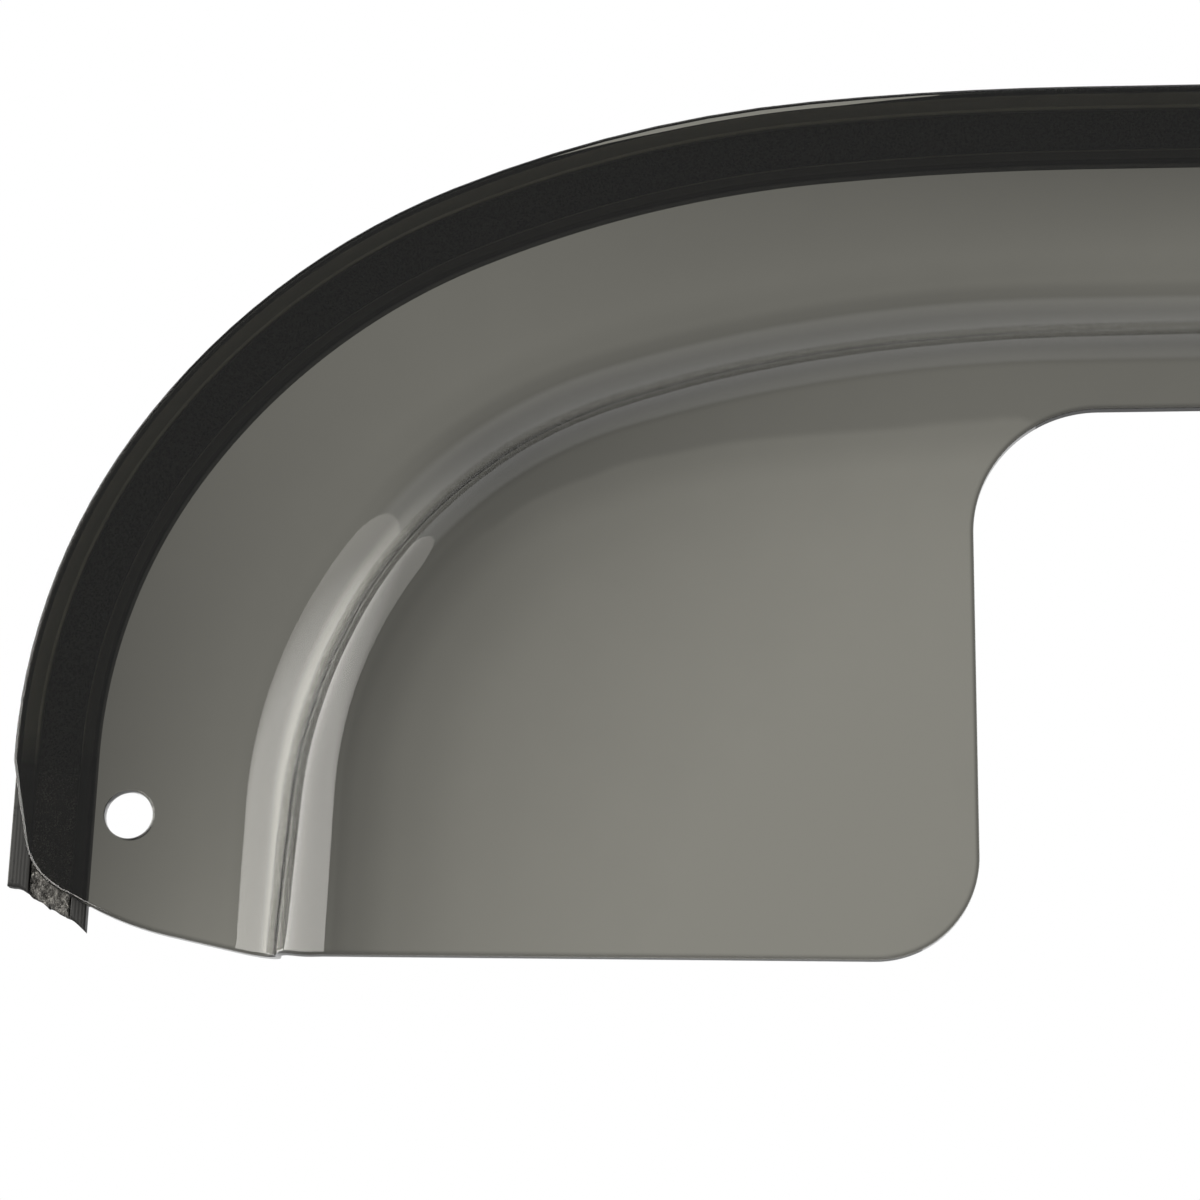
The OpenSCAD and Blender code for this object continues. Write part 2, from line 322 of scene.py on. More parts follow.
# Fills a flat area inside a loop, round an optional hole, with an even net of points
def fillFlat(loop, hole, high):
    low, top, spacing = loop.min(0), loop.max(0), net["flat"]
    x, z = np.meshgrid(np.arange(low[0], top[0], spacing), np.arange(low[1], top[1], spacing * net["rowGap"]))
    x = x + spacing / 2 * (np.arange(x.shape[0]) % 2)[:, None]
    grid = np.stack([x.ravel(), z.ravel()], -1)
    rings = [loop] + ([hole] if hole is not None else [])
    edge = np.concatenate(rings)

    def inside(q, ring):
        a, b = ring, np.roll(ring, -1, 0)
        crosses = (a[:, 1] > q[:, 1:2]) != (b[:, 1] > q[:, 1:2])
        slope = np.where(b[:, 1] == a[:, 1], 1, b[:, 1] - a[:, 1])
        at = a[:, 0] + (q[:, 1:2] - a[:, 1]) * (b[:, 0] - a[:, 0]) / slope
        return (crosses & (q[:, 0:1] < at)).sum(1) % 2 == 1

    far = np.array([np.hypot(*(edge - q).T).min() for q in grid]) > spacing * net["border"]
    keep = inside(grid, loop) & far
    if hole is not None:
        keep &= ~inside(grid, hole)
    points = np.concatenate([edge, grid[keep]])
    edges, at = [], 0
    for ring in rings:
        n = len(ring)
        edges += [(at + i, at + (i + 1) % n) for i in range(n)]
        at += n
    v, _, f = delaunay_2d_cdt([Vector(p) for p in points], edges, [], 1, 1e-6)[:3]
    v = np.array([tuple(p) for p in v])
    f = np.array(f)
    middle = v[f].mean(1)
    good = inside(middle, loop)
    if hole is not None:
        good &= ~inside(middle, hole)
    return stand(v, high), f[good]


# Stores one number for each vertex under a name that a material can read
def store(piece, name, values):
    values = np.asarray(values, np.float32)
    piece.data.attributes.new(name, "FLOAT", "POINT").data.foreach_set("value", values)


def places(piece):
    co = np.empty(len(piece.data.vertices) * 3)
    piece.data.vertices.foreach_get("co", co)
    return co.reshape(-1, 3) / mm


def smooth(x, low, high):
    x = np.clip((x - low) / (high - low), 0, 1)
    return x * x * (3 - 2 * x)


# Painted light and shade in how clear the sheet is, by place: gentle slopes in decimetres from the screw hole, one for
# the flange and one for the drawn visor, which is painted clearest at the lobe's low rear corner
paintedClearness = {
    "flange": (0.50, 0.78, -0.31, 0.023, -0.569, 0.258), "flangeReach": 2.6,
    "visor": (0.055, 1.095, -0.561, -0.31, 0.296, -0.171), "visorReach": 2.4,
    # The low part of the S-bend's wall is painted clearer by this much, as painted light. Each pair here and below is
    # where an effect starts and ends: across or along the S-bend, or for "left" and "high" in x and z
    "gain": 1.7, "gainIn": (7, 9.6), "gainOut": (13, 16), "gainAlong": (150, 215),
    # Painted light: the front corner is painted a little clearer
    "corner": 0.065, "cornerLeft": (70, 140), "cornerHigh": (-20, 50),
    # Painted shade: the wall is painted darker where the bend turns over, round the upper corner
    "line": 0.55, "lineIn": (10.5, 11.5), "lineOut": (13.5, 14.5), "lineFrom": (190, 225), "lineTo": (330, 430),
    # Painted shade on the cut walls and on the rounded edge beside them
    "wall": 0.65, "rearWall": 0.2, "rearHigh": (10, 75), "toeWall": 0.08, "toeLeft": (-12, 4), "wallDeep": 0.1,
    "edgeShade": 0.25, "arrisAt": [0, 0.06, 0.14, 0.5, 0.9], "arrisBy": [0, 0, 1, 1, 0],
    # Where the painted shade beside the S-bend ends, which the curves across it put at this many millimetres
    "zoneEnd": {"along": [200, 220, 240, 260, 280, 300, 330, 370], "at": [30, 31, 33, 33.5, 35, 37, 39, 40]},
    "zoneWide": 6,
    "upper": (180, 225),        # along the S-bend, from the lower curve to the upper one
}


def markSheet(piece):
    co, look = places(piece), paintedClearness
    plan = co[:, [0, 2]]
    x, z = plan.T
    across, along = offPath(bendPath, plan)

    def slope(k, reach):
        u, v = np.minimum(x / 100, reach), z / 100
        return k[0] + k[1] * u + k[2] * v + k[3] * u * u + k[4] * u * v + k[5] * v * v

    def rise(values, name):
        return smooth(values, *look[name])

    # The sheet's clearness here is painted light and shade: slopes by place, a clearer low wall, a clearer front corner
    # and a darker line round the upper corner
    drawn = smooth(across, 0, bendEnd)
    paintedShade = slope(look["flange"], look["flangeReach"]) * (1 - drawn)
    paintedShade += slope(look["visor"], look["visorReach"]) * drawn
    gain = rise(across, "gainIn") * (1 - rise(across, "gainOut")) * (1 - rise(along, "gainAlong"))
    paintedShade *= 1 + (look["gain"] - 1) * gain
    paintedShade *= 1 + look["corner"] * (1 - rise(x, "cornerLeft")) * rise(z, "cornerHigh")
    fold = across - np.interp(along, wallShift["along"], wallShift["by"])
    line = rise(fold, "lineIn") * (1 - rise(fold, "lineOut")) * rise(along, "lineFrom") * (1 - rise(along, "lineTo"))
    paintedShade *= 1 - look["line"] * line
    store(piece, "rim", offPath(rimPath, plan)[0])
    # Painted shade on the free cuts, which start past the rim's rear end
    edge, roundAt = offPath(outline, plan)
    free = smooth(roundAt, rimLong - 1, rimLong + 2)
    wall = look["wall"] + (look["rearWall"] - look["wall"]) * rise(z, "rearHigh")
    wall += (look["toeWall"] - wall) * (1 - rise(x, "toeLeft"))
    edgeShade = np.interp(edge, look["arrisAt"], look["arrisBy"])
    onWall = edge < look["wallDeep"]
    dark = wall * onWall + (1 - edgeShade * (1 - look["edgeShade"])) * ~onWall
    store(piece, "cut", 1 - free * (1 - dark))
    end = np.interp(along, look["zoneEnd"]["along"], look["zoneEnd"]["at"])
    past, wide = np.clip(across - bendEnd, 0, None), look["zoneWide"]
    beyond = np.where(across < end, past * wide / (end - bendEnd), past - end + bendEnd + wide)
    store(piece, "paintedShade", paintedShade)
    store(piece, "zone", np.minimum(across, bendEnd) + beyond)
    store(piece, "upper", rise(along, "upper"))


# Materials
def newMaterial(name):
    material = bpy.data.materials.new(name)
    material.use_nodes = True
    nodes, links = material.node_tree.nodes, material.node_tree.links
    return material, nodes, links, nodes["Principled BSDF"], nodes["Material Output"]


acrylicLook = {
    "ior": 1.49,
    "rough": 0.02,
    "clear": (0.238, 0.238, 0.218),     # light that passes 4 mm of the clearest part
    "hue": (1.0, 0.977, 0.931),
    "mottle": 0.05, "mottleScale": 90,
    # Painted light and shade in the clearness across the S-bend, in millimetres from its start: below the corner, and
    # above it
    "lowBendShade": [(-12, 1.0), (-3, 0.97), (0, 0.92), (6, 0.8), (9, 0.98), (11, 1.0), (12.5, 1.0),
                 (14, 0.6), (20, 0.72), (26, 0.72), (28, 0.66), (33, 0.74), (44, 0.9), (62, 1.0)],
    "highBendShade": [(-12, 1.0), (-4, 0.9), (-0.6, 0.72), (1.8, 0.66), (6, 0.5), (9, 0.5), (12.5, 0.62), (15, 0.34),
                  (20, 0.38), (24, 0.54), (26, 0.66), (31.4, 0.66), (33, 0.83), (44, 0.96), (62, 1.0)],
    "rimCurve": [(19.6, 1.0), (20.1, 0.0)],     # millimetres in from the rim
}


# Small helpers for the materials' nodes
def read(nodes, name):
    node = nodes.new("ShaderNodeAttribute")
    node.attribute_name = name
    return node.outputs["Fac"]


def math2(nodes, links, kind, a, b=0.0, c=0.0):
    node = nodes.new("ShaderNodeMath")
    node.operation = kind
    for k, value in enumerate((a, b, c)):
        if isinstance(value, (int, float)):
            node.inputs[k].default_value = value
        else:
            links.new(value, node.inputs[k])
    return node.outputs[0]


def mapRange(nodes, links, source, low, high, lowTo=0.0, highTo=1.0):
    node = nodes.new("ShaderNodeMapRange")
    for name, value in (("From Min", low), ("From Max", high), ("To Min", lowTo), ("To Max", highTo)):
        node.inputs[name].default_value = value
    links.new(source, node.inputs["Value"])
    return node.outputs[0]


# A smooth curve through points of (place, grey value)
def curve(nodes, links, source, points):
    low, high = points[0][0], points[-1][0]
    ramp = nodes.new("ShaderNodeValToRGB")
    ramp.color_ramp.interpolation = "EASE"
    stops = ramp.color_ramp.elements
    stops[0].color = (points[0][1],) * 3 + (1,)
    stops[1].color = (points[-1][1],) * 3 + (1,)
    for at, value in points[1:-1]:
        stops.new((at - low) / (high - low)).color = (value,) * 3 + (1,)
    links.new(mapRange(nodes, links, source, low, high), ramp.inputs["Fac"])
    return ramp.outputs["Color"]


def noise(nodes, links, where, scale, detail=2.0, rough=0.5):
    node = nodes.new("ShaderNodeTexNoise")
    node.inputs["Scale"].default_value = scale
    node.inputs["Detail"].default_value = detail
    node.inputs["Roughness"].default_value = rough
    links.new(where, node.inputs["Vector"])
    return node.outputs["Fac"]


def bump(nodes, links, shader, height, strength, distance):
    node = nodes.new("ShaderNodeBump")
    node.inputs["Strength"].default_value = strength
    node.inputs["Distance"].default_value = distance
    links.new(height, node.inputs["Height"])
    links.new(node.outputs["Normal"], shader.inputs["Normal"])


def colourMix(nodes, links, factor, dark, light):
    mix = nodes.new("ShaderNodeMix")
    mix.data_type = "RGBA"
    for name, value in (("A", dark), ("B", light)):
        if isinstance(value, tuple):
            mix.inputs[name].default_value = (*value, 1)
        else:
            links.new(value, mix.inputs[name])
    links.new(factor, mix.inputs["Factor"])
    return mix.outputs["Result"]


def acrylicMaterial():
    look = acrylicLook
    material, nodes, links, shader, out = newMaterial("smokedAcrylic")
    shader.inputs["IOR"].default_value = look["ior"]
    shader.inputs["Roughness"].default_value = look["rough"]
    shader.inputs["Transmission Weight"].default_value = 1
    where = nodes.new("ShaderNodeTexCoord").outputs["Object"]
    zone = read(nodes, "zone")
    # Painted light and shade across the S-bend: one curve below the corner and one above it
    low = curve(nodes, links, zone, look["lowBendShade"])
    high = curve(nodes, links, zone, look["highBendShade"])
    bendShade = colourMix(nodes, links, read(nodes, "upper"), low, high)
    mottle = noise(nodes, links, where, look["mottleScale"], 3)
    mottle = math2(nodes, links, "MULTIPLY_ADD", mottle, look["mottle"], 1 - look["mottle"] / 2)
    # The painted light and shade, with a small random mottle mixed in
    paintedShade = math2(nodes, links, "MULTIPLY", read(nodes, "paintedShade"), mottle)
    paintedShade = math2(nodes, links, "MULTIPLY", paintedShade, bendShade)
    # Painted shade on the cut walls and the rounded edge beside them
    paintedShade = math2(nodes, links, "MULTIPLY", paintedShade, read(nodes, "cut"))
    # The rim backs on to the black strip, so a clearer sheet there only lets the strip's zones show
    paintedShade = math2(nodes, links, "MAXIMUM", paintedShade, curve(nodes, links, read(nodes, "rim"), look["rimCurve"]))
    paintedShade = math2(nodes, links, "MINIMUM", paintedShade, 1.0)
    black = (0.0, 0.0, 0.0)
    links.new(colourMix(nodes, links, paintedShade, black, look["hue"]), shader.inputs["Base Color"])
    # Light lost inside the sheet, at a plain rate a metre
    taken = -np.log(np.array(look["clear"])) / (sheet["thick"] * mm)
    density = float(taken.max() / 0.9)
    soak = nodes.new("ShaderNodeVolumeAbsorption")
    soak.inputs["Color"].default_value = (*(1 - taken / density), 1)
    soak.inputs["Density"].default_value = density
    links.new(soak.outputs[0], out.inputs["Volume"])
    return material


rubberLook = {
    "skin": (0.008, 0.008, 0.008), "worn": (0.032, 0.032, 0.030), "paleZoneColour": (0.9, 0.9, 0.85),
    "rough": 0.48, "gleam": 0.3,
    "lines": 7.0,       # lengthwise lines, as radians in each millimetre of width
    "dust": 0.5, "dustScale": 900, "dustRough": 0.3,
    # How worn the skin is across the width, in millimetres
    "wornAcross": [(-0.2, 0.75), (1.0, 0.55), (4.6, 0.35), (5.1, 0.95), (5.5, 0.2), (15.9, 0.1),
                   (16.3, 0.9), (16.8, 0.2), (20.3, 0.12)],
    # Creases: their spacing along and across, how much noise makes one, and where they are
    "creaseAlong": 0.9, "creaseAcross": 0.3, "creaseFrom": [(0.0, 0.0), (0.60, 0.0), (0.66, 1.0), (1.0, 1.0)],
    "creaseLip": [(-0.2, 1.0), (1.2, 1.0), (2.0, 0.0), (20.3, 0.0)],
    "creaseCorner": [(60.0, 0.3), (100.0, 1.0), (300.0, 1.0), (340.0, 0.0), (900.0, 0.0)],
    # The pale zones, across the width and along the rim
    "paleZoneAcross": [(-0.2, 0.0), (1.1, 0.0), (1.5, 0.5), (4.4, 0.42), (4.9, 1.0), (5.3, 0.9), (5.6, 0.0),
                   (15.8, 0.0), (16.2, 0.6), (17.0, 0.12), (20.3, 0.1)],
    "paleZoneAlong": [(60.0, 0.0), (112.0, 0.0), (122.0, 1.0), (1200.0, 1.0)],
    "lineHigh": 0.4, "creaseDeep": -1.2, "bump": 0.5, "bumpHigh": 0.00006,
}


def rubberMaterial():
    look = rubberLook
    material, nodes, links, shader, out = newMaterial("blackRubber")
    where = nodes.new("ShaderNodeTexCoord").outputs["Object"]
    width, along = read(nodes, "width"), read(nodes, "along")
    pale = curve(nodes, links, width, look["wornAcross"])
    dust = noise(nodes, links, where, look["dustScale"], 4, 0.6)
    dust = math2(nodes, links, "MULTIPLY_ADD", dust, look["dust"], -look["dust"] / 2)
    pale = math2(nodes, links, "ADD", pale, dust)
    # Short creases across the lip, where the strip is bent round the corner, with painted shade in them
    place = nodes.new("ShaderNodeCombineXYZ")
    links.new(math2(nodes, links, "MULTIPLY", along, look["creaseAlong"]), place.inputs["X"])
    links.new(math2(nodes, links, "MULTIPLY", width, look["creaseAcross"]), place.inputs["Y"])
    crease = curve(nodes, links, noise(nodes, links, place.outputs[0], 1.0, 2), look["creaseFrom"])
    lip = curve(nodes, links, width, look["creaseLip"])
    corner = curve(nodes, links, along, look["creaseCorner"])
    crease = math2(nodes, links, "MULTIPLY", math2(nodes, links, "MULTIPLY", crease, lip), corner)
    # Painted shade: the creases are made darker
    pale = math2(nodes, links, "SUBTRACT", pale, crease)
    shade = nodes.new("ShaderNodeClamp")
    links.new(pale, shade.inputs["Value"])
    bare = colourMix(nodes, links, shade.outputs[0], look["skin"], look["worn"])
    # Pale zones on the faces that the sheet covers, palest in thin lines beside the lip and the foot
    paleZone = curve(nodes, links, width, look["paleZoneAcross"])
    paleZone = math2(nodes, links, "MULTIPLY", paleZone, curve(nodes, links, along, look["paleZoneAlong"]))
    links.new(colourMix(nodes, links, paleZone, bare, look["paleZoneColour"]), shader.inputs["Base Color"])
    shader.inputs["Specular IOR Level"].default_value = look["gleam"]
    rough = math2(nodes, links, "MULTIPLY_ADD", dust, look["dustRough"], look["rough"])
    links.new(rough, shader.inputs["Roughness"])
    line = math2(nodes, links, "SINE", math2(nodes, links, "MULTIPLY", width, look["lines"]))
    height = math2(nodes, links, "MULTIPLY_ADD", line, look["lineHigh"], dust)
    height = math2(nodes, links, "MULTIPLY_ADD", crease, look["creaseDeep"], height)
    bump(nodes, links, shader, height, look["bump"], look["bumpHigh"])
    return material


foamLook = {
    "dark": (0.012, 0.012, 0.012), "skin": (0.06, 0.06, 0.057), "cut": (0.22, 0.21, 0.195), "speck": (0.42, 0.41, 0.38),
    "rough": 0.95, "cellScale": 1700, "gritScale": 2600, "patchScale": 260,
    "cellShade": [(0.0, 0.0), (0.25, 0.15), (0.6, 1.0), (1.0, 1.0)],         # across each cell
    "patch": 0.35, "speckFrom": [(0.0, 0.0), (0.71, 0.0), (0.81, 1.0), (1.2, 1.0)],
    # The bare cut end, in millimetres along the rim, and how much paler it is
    "bareAlong": [(60.0, 1.0), (104.0, 1.0), (116.0, 0.0), (1200.0, 0.0)], "barePale": 0.4,
    "bump": 0.9, "bumpHigh": 0.0003,
}


def foamMaterial():
    look = foamLook
    material, nodes, links, shader, out = newMaterial("darkFoam")
    where = nodes.new("ShaderNodeTexCoord").outputs["Object"]
    cell = nodes.new("ShaderNodeTexVoronoi")
    cell.inputs["Scale"].default_value = look["cellScale"]
    links.new(where, cell.inputs["Vector"])
    # Painted shade: each cell is darker towards its middle, where the bump makes it lowest
    wall = curve(nodes, links, cell.outputs["Distance"], look["cellShade"])
    base = colourMix(nodes, links, wall, look["dark"], look["skin"])
    grit = noise(nodes, links, where, look["gritScale"], 3, 0.7)
    patch = noise(nodes, links, where, look["patchScale"], 2)
    speck = curve(nodes, links, math2(nodes, links, "MULTIPLY_ADD", patch, look["patch"], grit), look["speckFrom"])
    bare = curve(nodes, links, read(nodes, "along"), look["bareAlong"])
    speck = math2(nodes, links, "MULTIPLY", speck, bare)
    base = colourMix(nodes, links, math2(nodes, links, "MULTIPLY", bare, look["barePale"]), base, look["cut"])
    links.new(colourMix(nodes, links, speck, base, look["speck"]), shader.inputs["Base Color"])
    shader.inputs["Roughness"].default_value = look["rough"]
    bump(nodes, links, shader, math2(nodes, links, "ADD", wall, grit), look["bump"], look["bumpHigh"])
    return material


tapeLook = {
    "dark": (0.05, 0.05, 0.052), "light": (0.11, 0.11, 0.115), "rough": 0.75,
    "weave": 0.6, "weaveScale": 1500, "cloud": 0.4, "cloudScale": 60, "bump": 0.6, "bumpHigh": 0.0001,
}


def tapeMaterial():
    look = tapeLook
    material, nodes, links, shader, out = newMaterial("tape")
    where = nodes.new("ShaderNodeTexCoord").outputs["Object"]
    weave = noise(nodes, links, where, look["weaveScale"], 3, 0.6)
    cloud = math2(nodes, links, "MULTIPLY", noise(nodes, links, where, look["cloudScale"], 2), look["cloud"])
    both = math2(nodes, links, "MULTIPLY_ADD", weave, look["weave"], cloud)
    links.new(colourMix(nodes, links, both, look["dark"], look["light"]), shader.inputs["Base Color"])
    shader.inputs["Roughness"].default_value = look["rough"]
    bump(nodes, links, shader, weave, look["bump"], look["bumpHigh"])
    return material


acrylic = acrylicMaterial()
rubber, foam, tape = rubberMaterial(), foamMaterial(), tapeMaterial()
print("materials made")


# Where along the outline and the S-bend the toe's cut and the rear cut cross it
seams = {"toeRows": 60.0, "rearRows": 500.0, "toeBack": (115, 30), "rearOn": (20, 88)}


# The sheet: its edge is a rounded profile carried round the outline, the S-bend a grid of
# path distance and row, and the two flats are filled between them
def makeShell():
    toeRows = [bendRows(seams["toeRows"], back) for back in (0, 1)]
    rearRows = [bendRows(seams["rearRows"], back) for back in (0, 1)]
    toeZone = [outline["length"] - reach for reach in seams["toeBack"]]
    rearZone = [rimLong + reach for reach in seams["rearOn"]]
    toe = [crossings(back, toeRows[back], *toeZone) for back in (0, 1)]
    rear = [crossings(back, rearRows[back], *rearZone) for back in (0, 1)]
    # Plain stations round the outline, with the crossings in place of those that they cover
    extra = net["corners"]
    t = np.concatenate([stations(outline, net["outlineTurn"]), extra, rimLong - extra, rimLong + extra,
                        outline["length"] - extra])
    t = np.unique(t)
    spans = []
    for zone in (rear, toe):
        ends = np.concatenate([zone[0][[0, -1]], zone[1][[0, -1]]])
        spans.append((ends.min() - net["join"], ends.max() + net["join"]))
    (rearLow, rearHigh), (toeLow, toeHigh) = spans
    runs = [t[t < rearLow], t[(t > rearHigh) & (t < toeLow)], t[t > toeHigh]]
    marks = [np.concatenate([runs[0], rear[back], runs[1], toe[back][::-1], runs[2]]) for back in (0, 1)]
    count = len(toeRows[0])
    kRear = len(runs[0])
    kToe = kRear + count + len(runs[1])

    # Edge profile, front to back: a ledge, the front rounding, the wall and the back rounding
    turn = np.linspace(0, math.pi / 2, net["roundSteps"])
    front = frontRound(marks[0])
    flat = 0 * front
    behind = flat + sheet["backRound"]
    ledge, start = sheet["ledge"], net["wallStart"]

    def rounding(back, r, turns):
        return [(back, r * (1 - math.sin(a)), r * (1 - math.cos(a))) for a in turns]

    profile = [(0, front + ledge, flat)] + rounding(0, front, turn) + [(0, flat, front + start)]
    profile += [(1, flat, behind + start)] + rounding(1, behind, turn[::-2]) + [(1, behind + ledge, flat)]
    band, plans, highs = [], [], []
    for back, d, drop in profile:
        plan = inset(marks[back], d)
        s, along = offPath(bendPath, plan)
        high = sheetHigh(s, along, back) + (drop if back else -drop)
        band.append(stand(plan, high))
        plans.append(plan)
        highs.append(high)
    parts = [(np.concatenate(band), gridFaces(len(profile), len(marks[0]), closed=True))]

    # The S-bend, front and back, from the toe's cut to the rear cut
    atRear, atToe = slice(kRear, kRear + count), slice(kToe, kToe + count)
    hole = np.linspace(0, 2 * math.pi, net["holeSteps"], endpoint=False)
    collar = sheet["holeRadius"] + sheet["holeRound"] + sheet["holeCollar"]
    for back, ring, ringHigh in ((0, plans[0], highs[0]), (1, plans[-1], highs[-1])):
        rearEnds, toeEnds = ring[atRear], ring[atToe][::-1]
        _, t0 = offPath(bendPath, toeEnds)
        _, t1 = offPath(bendPath, rearEnds)
        ref = stations(bendPath, net["sweepTurn"], 1)
        ref = ref[(ref > t0.max() + 1) & (ref < t1.min() - 1)]
        ref = np.concatenate([[t0[0]], ref, [t1[0]]])
        u = (ref - ref[0]) / (ref[-1] - ref[0])
        t = t0[:, None] + (t1 - t0)[:, None] * u
        place, a = pathAt(bendPath, t)
        s = bendRows(t, back)
        plan = place + s[..., None] * inward(a)
        plan[:, 0], plan[:, -1] = toeEnds, rearEnds
        high = sheetHigh(s, t, back)
        high[:, 0], high[:, -1] = ringHigh[atToe][::-1], ringHigh[atRear]
        parts.append((stand(plan, high), gridFaces(count, len(u))))
        # The flats on both sides of it
        flange = np.concatenate([ring[:kRear + 1], plan[0, -2:0:-1], ring[kToe + count - 1:]])
        visor = np.concatenate([ring[kRear + count - 1:kToe + 1], plan[-1, 1:-1]])
        parts.append(fillFlat(flange, collar * ahead(hole), 0.0 if back else sheet["thick"]))
        parts.append(fillFlat(visor, None, visorHigh + (0 if back else sheet["thick"])))

    # The screw hole: a rounded profile turned round its centre
    g, c, h = sheet["holeRadius"], sheet["holeRound"], sheet["thick"]
    steps = np.linspace(0, math.pi / 2, 6)
    profile = [(collar, h)] + [(g + c - c * math.sin(a), h - c + c * math.cos(a)) for a in steps]
    profile += [(g, h / 2)] + [(g + c - c * math.sin(a), c - c * math.cos(a)) for a in steps[::-1]]
    profile += [(collar, 0)]
    bore = np.concatenate([stand(radius * ahead(hole), high) for radius, high in profile])
    parts.append((bore, gridFaces(len(profile), len(hole), closed=True)))
    shell = makeMesh("smokedShell", parts, acrylic)
    markSheet(shell)
    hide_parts("shell")
    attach(shell, "root")


makeShell()
print("shell made")

# The strip behind the rim: sections carried along the rim from the ragged front cut.
# Places across are measured inward from the rim, heights from the sheet's back
strip = {
    "wide": 20.3, "thick": 4.0, "lip": 5.4, "foot": 4.0, "web": 1.0, "backRound": 1.5, "foamGap": 0.4,
    "tapeWide": 12.0, "tapeThick": 1.1, "cutDrop": 17.0, "rearGap": 3.0, "skin": 0.03,
    # Where along the rim the lip sits lower than it, and across how much of the strip
    "crown": {"along": [330, 362, 408, 440], "gap": [0, 0.95, 0.95, 0], "wide": 4},
    # The torn end's line, across and down in strip widths, and its notches' share across it
    "tear": [[-0.2, 0], [0, 0], [0.15, 0.02], [0.26, 0.09], [0.29, 0.13], [0.42, 0.2], [0.5, 0.27], [0.57, 0.285],
             [0.67, 0.36], [0.75, 0.385], [0.84, 0.44], [1, 0.6], [1.3, 0.69]],
    "notches": {"across": [3, 6, 15, 17], "share": [0.2, 1, 1, 0.2]},
    "fineLong": 26,     # length of the end that is cut finely
    "pits": {"count": 420, "across": (5, 17), "wide": (0.3, 0.9), "bottom": -1.6, "face": -0.2},
}
tearStart = np.array([-sheet["holeInset"], 0]) - strip["cutDrop"] / math.sin(frontA) * ahead(frontA)
tear = tearStart + strip["wide"] * np.array(strip["tear"]) * [1, -1]
tearOff, tearAlong = (tear - rimFoot) @ inward(frontA), (tear - rimFoot) @ ahead(frontA)


# A closed section with its corners rounded; each corner is (across, high, radius)
def section(corners, spacing=0.7):
    points = []
    n = len(corners)
    for k, (x, y, r) in enumerate(corners):
        here = np.array([x, y])
        before, after = np.array(corners[k - 1][:2]) - here, np.array(corners[(k + 1) % n][:2]) - here
        u, v = before / np.hypot(*before), after / np.hypot(*after)
        for w in np.linspace(0, 1, 5):      # a parabola through the corner's two tangent points
            points.append(here + r * (u * (1 - w) ** 2 + v * w ** 2))
        gap = np.hypot(*after) - r - corners[(k + 1) % n][2]
        steps = int(gap // spacing)
        points += [here + v * (r + gap * i / (steps + 1)) for i in range(1, steps + 1)]
    return np.array(points)


def makeStrip(name, node, loop, rearGap, material, fine, torn, pits=0.0):
    off, high = loop.T
    rng = np.random.default_rng(7)
    end, fineLong = rimPath["length"] - rearGap, strip["fineLong"]
    notches, crown, pit = strip["notches"], strip["crown"], strip["pits"]
    share = np.interp(off, notches["across"], notches["share"])
    start = np.interp(off, tearOff, tearAlong) + torn * share * rng.random(len(off)) ** 2
    first = start.min()
    at = stations(rimPath, net["sweepTurn"], 1)
    at = np.concatenate([first + np.arange(0, fineLong, fine), at[(at < end - 1) & (at > first + fineLong + 2)], [end]])
    t = start + (at[:, None] - first) * (end - start) / (end - first)
    place, a = pathAt(rimPath, t)
    drop = np.interp(t, crown["along"], crown["gap"]) * np.clip(1 - off / crown["wide"], 0, 1)
    plan = place + (off + drop)[..., None] * inward(a)
    tall = np.broadcast_to(high, t.shape).copy()
    if pits:
        # Cells torn open in the bare face: each pit is a small bowl
        last = first + fineLong + 1
        bare = (high > pit["face"])[None, :] & (t < last)
        cells = [rng.uniform(*ends, pit["count"]) for ends in (pit["across"], (first, last), pit["wide"])]
        for x, y, r in zip(*cells):
            far = np.hypot(off - x, t - y) / r
            tall -= np.where(bare, pits * r * np.clip(1 - far * far, 0, None), 0)
        tall = np.where(bare, np.maximum(tall, pit["bottom"]), high)
    # The end caps are even triangles, so that the torn end keeps its notches
    _, _, caps, source = delaunay_2d_cdt([Vector(p) for p in loop], [], [list(range(len(off)))], 1, 1e-5)[:4]
    caps = np.array([[source[i][0] for i in face] for face in caps])
    rearCap = caps[:, ::-1] + (len(at) - 1) * len(off)
    faces = gridFaces(len(at), len(off), closed=True).tolist() + caps.tolist() + rearCap.tolist()
    piece = makeMesh(name, [(stand(plan, tall), faces)], material)
    width, along = offPath(rimPath, places(piece)[:, [0, 2]])
    store(piece, "width", width)
    store(piece, "along", along)
    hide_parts(node)
    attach(piece, "root")


def makeStrips():
    s, e = strip, strip["skin"]
    foot, low = s["wide"] - s["foot"], -s["thick"]
    web = s["web"] - s["thick"]
    rubberLoop = section([
        (0, -e, 0.5), (s["lip"], -e, 0.35), (s["lip"], web, 0.2), (foot, web, 0.2), (foot, -e, 0.35),
        (s["wide"], -e, 0.5), (s["wide"], low, 0.4), (0, low, s["backRound"])])
    foamLoop = section([
        (s["lip"] + s["foamGap"], -e, 0.3), (foot - s["foamGap"], -e, 0.3),
        (foot - s["foamGap"], web, 0.1), (s["lip"] + s["foamGap"], web, 0.1)], 0.4)
    side = (s["wide"] - s["tapeWide"]) / 2
    tapeLoop = section([
        (side, low, 0.1), (s["wide"] - side, low, 0.1),
        (s["wide"] - side, low - s["tapeThick"], 0.2), (side, low - s["tapeThick"], 0.2)])
    makeStrip("rubberEdge", "rubber_profile", rubberLoop, s["rearGap"], rubber, 1.0, 0.6)
    makeStrip("foamCore", "foam_strip", foamLoop, s["rearGap"], foam, 0.4, 1.3, pits=0.9)
    makeStrip("tapeBack", "mounting_tape", tapeLoop, s["rearGap"] + 1, tape, 1.0, 2.4)


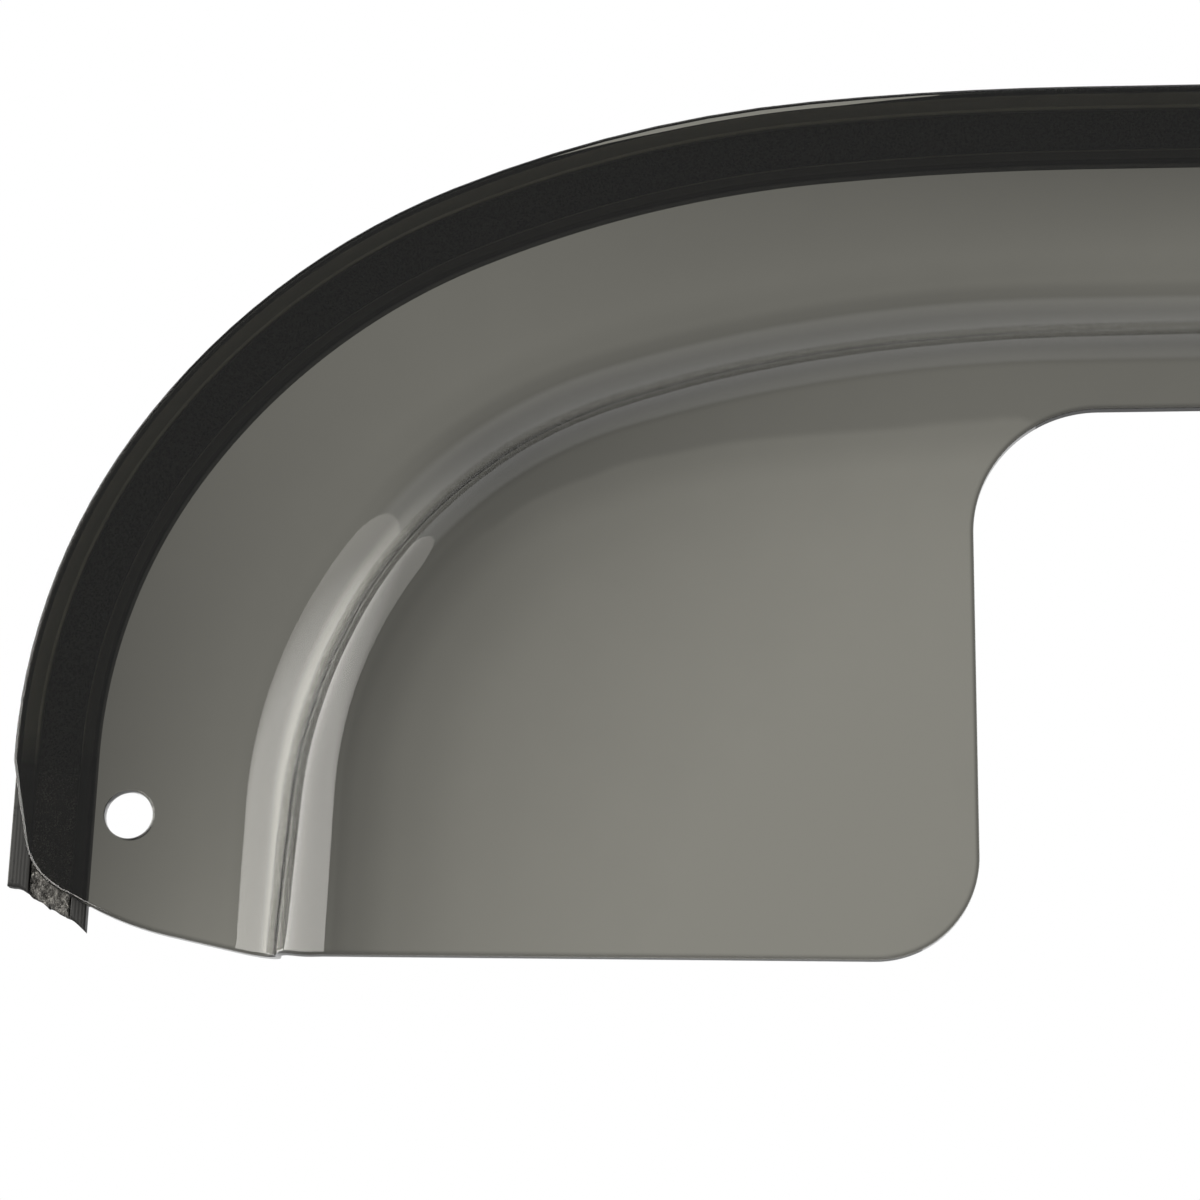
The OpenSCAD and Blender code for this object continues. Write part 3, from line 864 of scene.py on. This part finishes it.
makeStrips()
print("strips made")


# A pale floor, and a world that is white for the camera and through the sheet, and behind the part in
# reflections. Other reflections see a dim front with a soft light above it, and the rest is lit at one level
studio = {
    "floor": -0.5, "floorHalf": 6.0, "level": 0.45, "white": 1.0, "behind": (-0.1, 0.2),
    "front": 0.38, "above": 1.3, "aboveFrom": (0.42, 0.56),
}


def makeWorld():
    world = bpy.data.worlds.new("studio")
    bpy.context.scene.world = world
    world.use_nodes = True
    nodes, links = world.node_tree.nodes, world.node_tree.links

    def mixed(factor, a, b):
        node = nodes.new("ShaderNodeMix")
        for name, value in (("Factor", factor), ("A", a), ("B", b)):
            if isinstance(value, float):
                node.inputs[name].default_value = value
            else:
                links.new(value, node.inputs[name])
        return node.outputs["Result"]

    ray = nodes.new("ShaderNodeLightPath").outputs
    split = nodes.new("ShaderNodeSeparateXYZ")
    links.new(nodes.new("ShaderNodeTexCoord").outputs["Generated"], split.inputs[0])
    behind = mapRange(nodes, links, split.outputs["Y"], *studio["behind"])
    gloss = math2(nodes, links, "MULTIPLY", behind, ray["Is Glossy Ray"])
    seen = math2(nodes, links, "MAXIMUM", ray["Is Camera Ray"], ray["Is Transmission Ray"])
    seen = math2(nodes, links, "MAXIMUM", seen, gloss)
    above = mapRange(nodes, links, split.outputs["Z"], *studio["aboveFrom"], studio["front"], studio["above"])
    level = mixed(seen, mixed(ray["Is Glossy Ray"], studio["level"], above), studio["white"])
    links.new(level, nodes["Background"].inputs["Strength"])
    nodes["Background"].inputs["Color"].default_value = (1, 1, 1, 1)


makeWorld()


def makeFloor():
    mesh = bpy.data.meshes.new("floor")
    s = studio["floorHalf"]
    mesh.from_pydata([(-s, -s, 0), (s, -s, 0), (s, s, 0), (-s, s, 0)], [], [(0, 1, 2, 3)])
    material, nodes, links, shader, out = newMaterial("paleFloor")
    shader.inputs["Base Color"].default_value = (0.8, 0.8, 0.8, 1)
    shader.inputs["Roughness"].default_value = 0.9
    mesh.materials.append(material)
    floor = bpy.data.objects.new("floor", mesh)
    floor.location.z = studio["floor"]
    bpy.context.scene.collection.objects.link(floor)


makeFloor()


# A tall lit wall on the left, along the view: brightest low down, with a clean top edge
sidePanel = {
    "x": -0.5, "near": -2.4, "far": 0.85, "low": 0.02, "top": 0.62,
    "rise": 0.3,        # the top edge is this much higher at the near end
    "warm": (1.0, 0.978, 0.935),
    "bright": 6.2, "dim": 2.6, "fade": 0.5,     # strength low down and at the top edge, and where the fall starts
}


def makeSidePanel():
    w = sidePanel
    mesh = bpy.data.meshes.new("sidePanel")
    mesh.from_pydata([(w["x"], w["near"], w["low"]), (w["x"], w["far"], w["low"]),
                      (w["x"], w["far"], w["top"]), (w["x"], w["near"], w["top"] + w["rise"])], [], [(0, 1, 2, 3)])
    material, nodes, links, shader, out = newMaterial("sidePanel")
    nodes.remove(shader)
    split = nodes.new("ShaderNodeSeparateXYZ")
    links.new(nodes.new("ShaderNodeTexCoord").outputs["Object"], split.inputs[0])
    start = w["low"] + w["fade"] * (w["top"] - w["low"])
    glow = nodes.new("ShaderNodeEmission")
    glow.inputs["Color"].default_value = (*w["warm"], 1)
    fall = mapRange(nodes, links, split.outputs["Z"], start, w["top"], w["bright"], w["dim"])
    links.new(fall, glow.inputs["Strength"])
    links.new(glow.outputs[0], out.inputs["Surface"])
    mesh.materials.append(material)
    panel = bpy.data.objects.new("sidePanel", mesh)
    bpy.context.scene.collection.objects.link(panel)
    panel.visible_camera = panel.visible_transmission = panel.visible_shadow = False


makeSidePanel()
print("studio made")

bpy.context.scene.view_settings.view_transform = "Standard"
